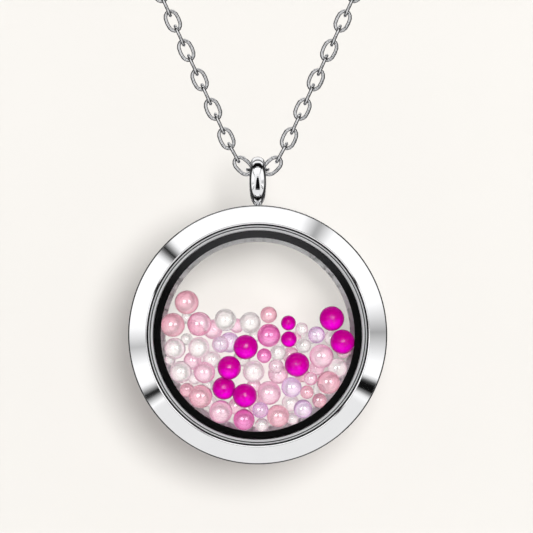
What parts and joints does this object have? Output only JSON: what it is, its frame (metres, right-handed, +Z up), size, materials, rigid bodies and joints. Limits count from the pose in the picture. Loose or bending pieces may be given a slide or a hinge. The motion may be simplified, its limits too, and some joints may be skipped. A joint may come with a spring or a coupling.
{
  "type": "floating locket necklace",
  "caption": "Round steel locket with glass panes and loose pink and clear beads inside, hanging by a bail on a cable chain; the front half screws off.",
  "frame": {"origin": "middle of the clasp's inner face, where the necklace lies on the nape, at the top of the loop", "axes": "+Z up, +X to the wearer's left, +Y to the back; the locket's front glass faces -Y"},
  "size_m": [0.1234, 0.0076, 0.238],
  "materials": {
    "polished_steel": "mirror polished stainless steel",
    "grooved_steel": "finely turned stainless steel with one groove",
    "chain_steel": "polished stainless steel wire",
    "clear_glass": "clear polished glass",
    "black_seal": "smooth black",
    "bead_rose": "translucent rose with a pearly coat",
    "bead_pink": "translucent bright pink with a pearly coat",
    "bead_magenta": "glossy translucent magenta",
    "bead_blush": "translucent pale pink with a pearly coat",
    "bead_pearl": "white pearl",
    "bead_clear": "clear with a faint iridescent coat",
    "bead_lilac": "translucent lilac with a pearly coat"
  },
  "bodies": {
    "necklace": {"chain_front": "chain_steel", "chain_back": "chain_steel", "clasp": "chain_steel"},
    "pendant": {"base_frame": "polished_steel", "back_glass": "clear_glass", "bead_01_rose": "bead_rose", "bead_02_rose": "bead_rose", "bead_03_blush": "bead_blush", "bead_04_blush": "bead_blush", "bead_05_clear": "bead_clear", "bead_06_clear": "bead_clear", "bead_07_magenta": "bead_magenta", "bead_08_pearl": "bead_pearl", "bead_09_pearl": "bead_pearl", "bead_10_pearl": "bead_pearl", "bead_11_lilac": "bead_lilac", "bead_12_magenta": "bead_magenta", "bead_13_pearl": "bead_pearl", "bead_14_blush": "bead_blush", "bead_15_magenta": "bead_magenta", "bead_16_magenta": "bead_magenta", "bead_17_rose": "bead_rose", "bead_18_blush": "bead_blush", "bead_19_pink": "bead_pink", "bead_20_pearl": "bead_pearl", "bead_21_rose": "bead_rose", "bead_22_pink": "bead_pink", "bead_23_magenta": "bead_magenta", "bead_24_magenta": "bead_magenta", "bead_25_lilac": "bead_lilac", "bead_26_magenta": "bead_magenta", "bead_27_magenta": "bead_magenta", "bead_28_magenta": "bead_magenta", "bead_29_blush": "bead_blush", "bead_30_pearl": "bead_pearl", "bead_31_rose": "bead_rose", "bead_32_rose": "bead_rose", "bead_33_lilac": "bead_lilac", "bead_34_rose": "bead_rose", "bead_35_blush": "bead_blush", "bead_36_lilac": "bead_lilac", "bead_37_pink": "bead_pink", "bead_38_clear": "bead_clear", "bead_39_blush": "bead_blush", "bead_40_lilac": "bead_lilac", "bead_fill_rose": "bead_rose", "bead_fill_pearl": "bead_pearl", "bead_fill_clear": "bead_clear", "bead_fill_blush": "bead_blush"},
    "seal": {"seal_ring": "black_seal"},
    "front": {"front_frame": "polished_steel", "crystal_ring": "grooved_steel", "front_glass": "clear_glass"}
  },
  "joints": [
    {"name": "pendant_swing", "type": "hinge", "parent": "necklace", "child": "pendant", "pos_m": [0, 0, -0.20181], "axis": [1, 0, 0], "range_deg": [-60, 60]},
    {"name": "front_rise", "type": "slide", "parent": "pendant", "child": "seal", "axis": [0, -1, 0], "range_m": [0, 0.006]},
    {"name": "front_turn", "type": "hinge", "parent": "seal", "child": "front", "pos_m": [0, -0.00029, -0.22096], "axis": [0, -1, 0], "range_deg": [0, 720]}
  ],
  "couplings": [
    {"joint": "front_rise", "follows": "front_turn", "m_per_rad": 0.00047746}
  ]
}
